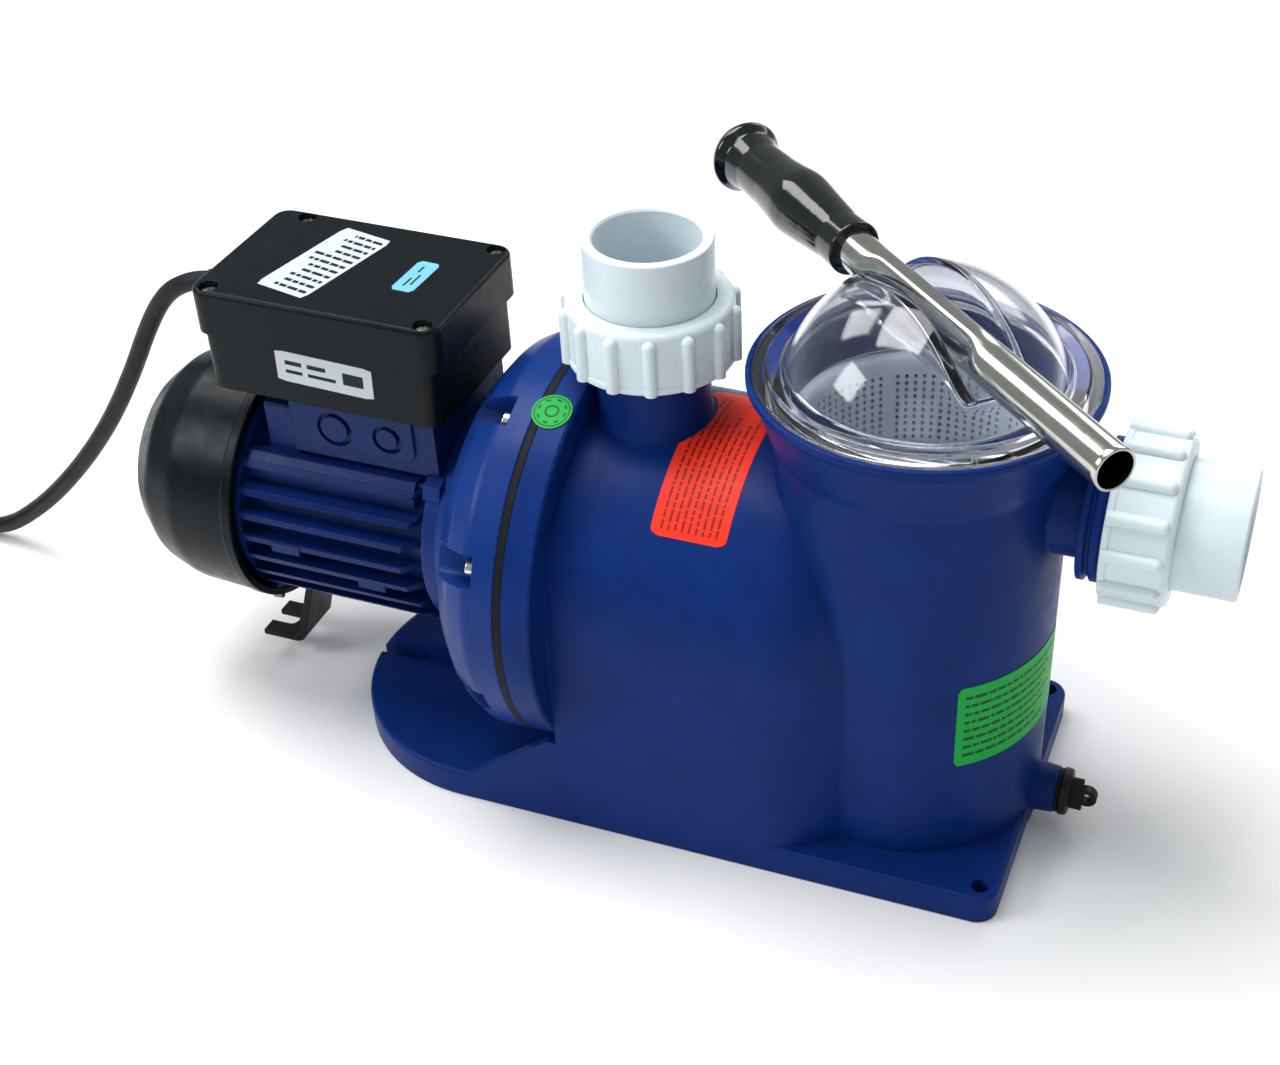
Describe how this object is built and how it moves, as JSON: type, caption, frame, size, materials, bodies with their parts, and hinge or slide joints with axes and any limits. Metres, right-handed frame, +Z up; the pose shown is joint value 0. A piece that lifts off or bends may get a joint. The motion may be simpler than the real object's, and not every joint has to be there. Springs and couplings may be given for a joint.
{
  "type": "pool pump",
  "caption": "Self-priming pool pump: blue casing with strainer pot and clear lid, finned motor with terminal box and lead, two white pipe unions, lid wrench, slotted motor foot.",
  "frame": {"origin": "on the floor under the axis of the discharge union, in the middle plane", "axes": "+Z up along the discharge union, +X along the suction union away from the motor"},
  "size_m": [0.906, 0.2884, 0.3001],
  "materials": {
    "housing_blue": "satin moulded",
    "plate_blue": "satin moulded",
    "motor_paint": "satin enamel",
    "black_plastic": "fine moulded grain",
    "black_rubber": "matt",
    "white_pvc": "satin moulded",
    "clear_lid": "polished clear plastic",
    "basket_grey": "satin moulded",
    "stainless": "polished tube",
    "grip_black": "polished",
    "steel": "ground",
    "bolt_chrome": "bright plated",
    "brass": "turned",
    "copper_winding": "varnished wire",
    "lamination": "stacked sheet",
    "end_shield_alu": "satin enamel on die casting",
    "inner_black": "moulded",
    "ceramic_white": "lapped",
    "foot_black": "black enamel",
    "cord_rubber": "satin sheath",
    "capacitor_white": "moulded"
  },
  "bodies": {
    "root": {"pump_housing": "housing_blue", "seal_plate": "plate_blue", "housing_gasket": "black_rubber", "flange_inserts": "brass", "flange_bolts": "bolt_chrome", "diffuser": "inner_black", "seal_seat": "ceramic_white", "front_bearing_outer_ring": "steel", "rear_bearing_outer_ring": "steel", "wave_washer": "steel", "stator_core": "lamination", "stator_windings": "copper_winding", "motor_frame": "motor_paint", "front_end_shield": "end_shield_alu", "rear_end_shield": "end_shield_alu", "tie_rods": "steel", "fan_cover": "black_plastic", "fan_cover_screws": "steel", "motor_foot": "foot_black", "foot_screw": "steel", "terminal_box": "black_plastic", "terminal_lid_gasket": "black_rubber", "terminal_lid": "black_plastic", "terminal_lid_screws": "steel", "terminal_block": "black_plastic", "run_capacitor": "capacitor_white", "cable_gland": "black_plastic", "gland_nut": "black_plastic", "cord_bend_sleeve": "black_rubber", "power_cord": "cord_rubber", "cord_coil": "cord_rubber", "cord_tie": "black_rubber", "mains_plug": "black_rubber", "plug_pins": "brass", "discharge_union_o_ring": "black_rubber", "suction_union_o_ring": "black_rubber"},
    "rotor": {"rotor_shaft": "steel", "rotor_core": "lamination", "impeller": "inner_black", "impeller_nut": "brass", "seal_rotary_head": "black_rubber", "seal_spring": "steel", "front_bearing_inner_ring": "steel", "rear_bearing_inner_ring": "steel", "cooling_fan": "inner_black", "fan_circlip": "steel"},
    "ball_sets": {"bearing_balls": "steel"},
    "lid_seal": {"lid_o_ring": "black_rubber"},
    "lid": {"strainer_lid": "clear_lid"},
    "basket": {"strainer_basket": "basket_grey"},
    "wrench": {"wrench_tube": "stainless", "wrench_grip": "grip_black"},
    "discharge_tail": {"discharge_union_tail": "white_pvc"},
    "discharge_nut": {"discharge_union_nut": "white_pvc"},
    "suction_tail": {"suction_union_tail": "white_pvc"},
    "suction_nut": {"suction_union_nut": "white_pvc"},
    "drain_seal": {"drain_gasket": "black_rubber"},
    "drain": {"drain_plug": "inner_black"}
  },
  "joints": [
    {"name": "rotor_spin", "type": "hinge", "parent": "root", "child": "rotor", "pos_m": [-0.1, 0, 0.1204], "axis": [1, 0, 0], "continuous": true},
    {"name": "ball_sets_roll", "type": "hinge", "parent": "root", "child": "ball_sets", "pos_m": [-0.1, 0, 0.1204], "axis": [1, 0, 0], "continuous": true},
    {"name": "lid_lift", "type": "slide", "parent": "root", "child": "lid_seal", "axis": [0, 0, 1], "range_m": [0, 0.39]},
    {"name": "lid_turn", "type": "hinge", "parent": "lid_seal", "child": "lid", "pos_m": [0.133, 0, 0.25], "axis": [0, 0, 1], "range_deg": [0, 14]},
    {"name": "basket_lift", "type": "slide", "parent": "root", "child": "basket", "axis": [0, 0, 1], "range_m": [0, 0.195]},
    {"name": "wrench_lift", "type": "slide", "parent": "lid", "child": "wrench", "axis": [0, 0, 1], "range_m": [0, 0.12]},
    {"name": "discharge_tail_lift", "type": "slide", "parent": "root", "child": "discharge_tail", "axis": [0, 0, 1], "range_m": [0, 0.00694]},
    {"name": "discharge_nut_turn", "type": "hinge", "parent": "discharge_tail", "child": "discharge_nut", "pos_m": [0, 0, 0.253], "axis": [0, 0, 1], "range_deg": [0, 1080]},
    {"name": "suction_tail_pull", "type": "slide", "parent": "root", "child": "suction_tail", "axis": [1, 0, 0], "range_m": [0, 0.00694]},
    {"name": "suction_nut_turn", "type": "hinge", "parent": "suction_tail", "child": "suction_nut", "pos_m": [0.24, 0, 0.1964], "axis": [1, 0, 0], "range_deg": [0, 1080]},
    {"name": "drain_seal_pull", "type": "slide", "parent": "root", "child": "drain_seal", "axis": [1, 0, 0], "range_m": [0, 0.0081]},
    {"name": "drain_plug_turn", "type": "hinge", "parent": "drain_seal", "child": "drain", "pos_m": [0.213, 0, 0.0176], "axis": [1, 0, 0], "range_deg": [0, 2160]}
  ],
  "couplings": [
    {"joint": "ball_sets_roll", "follows": "rotor_spin", "ratio": 0.41},
    {"joint": "basket_lift", "follows": "lid_lift", "ratio": 0.5},
    {"joint": "discharge_tail_lift", "follows": "discharge_nut_turn", "m_per_rad": 0.00036749},
    {"joint": "suction_tail_pull", "follows": "suction_nut_turn", "m_per_rad": 0.00036749},
    {"joint": "drain_seal_pull", "follows": "drain_plug_turn", "m_per_rad": 0.00021279}
  ]
}
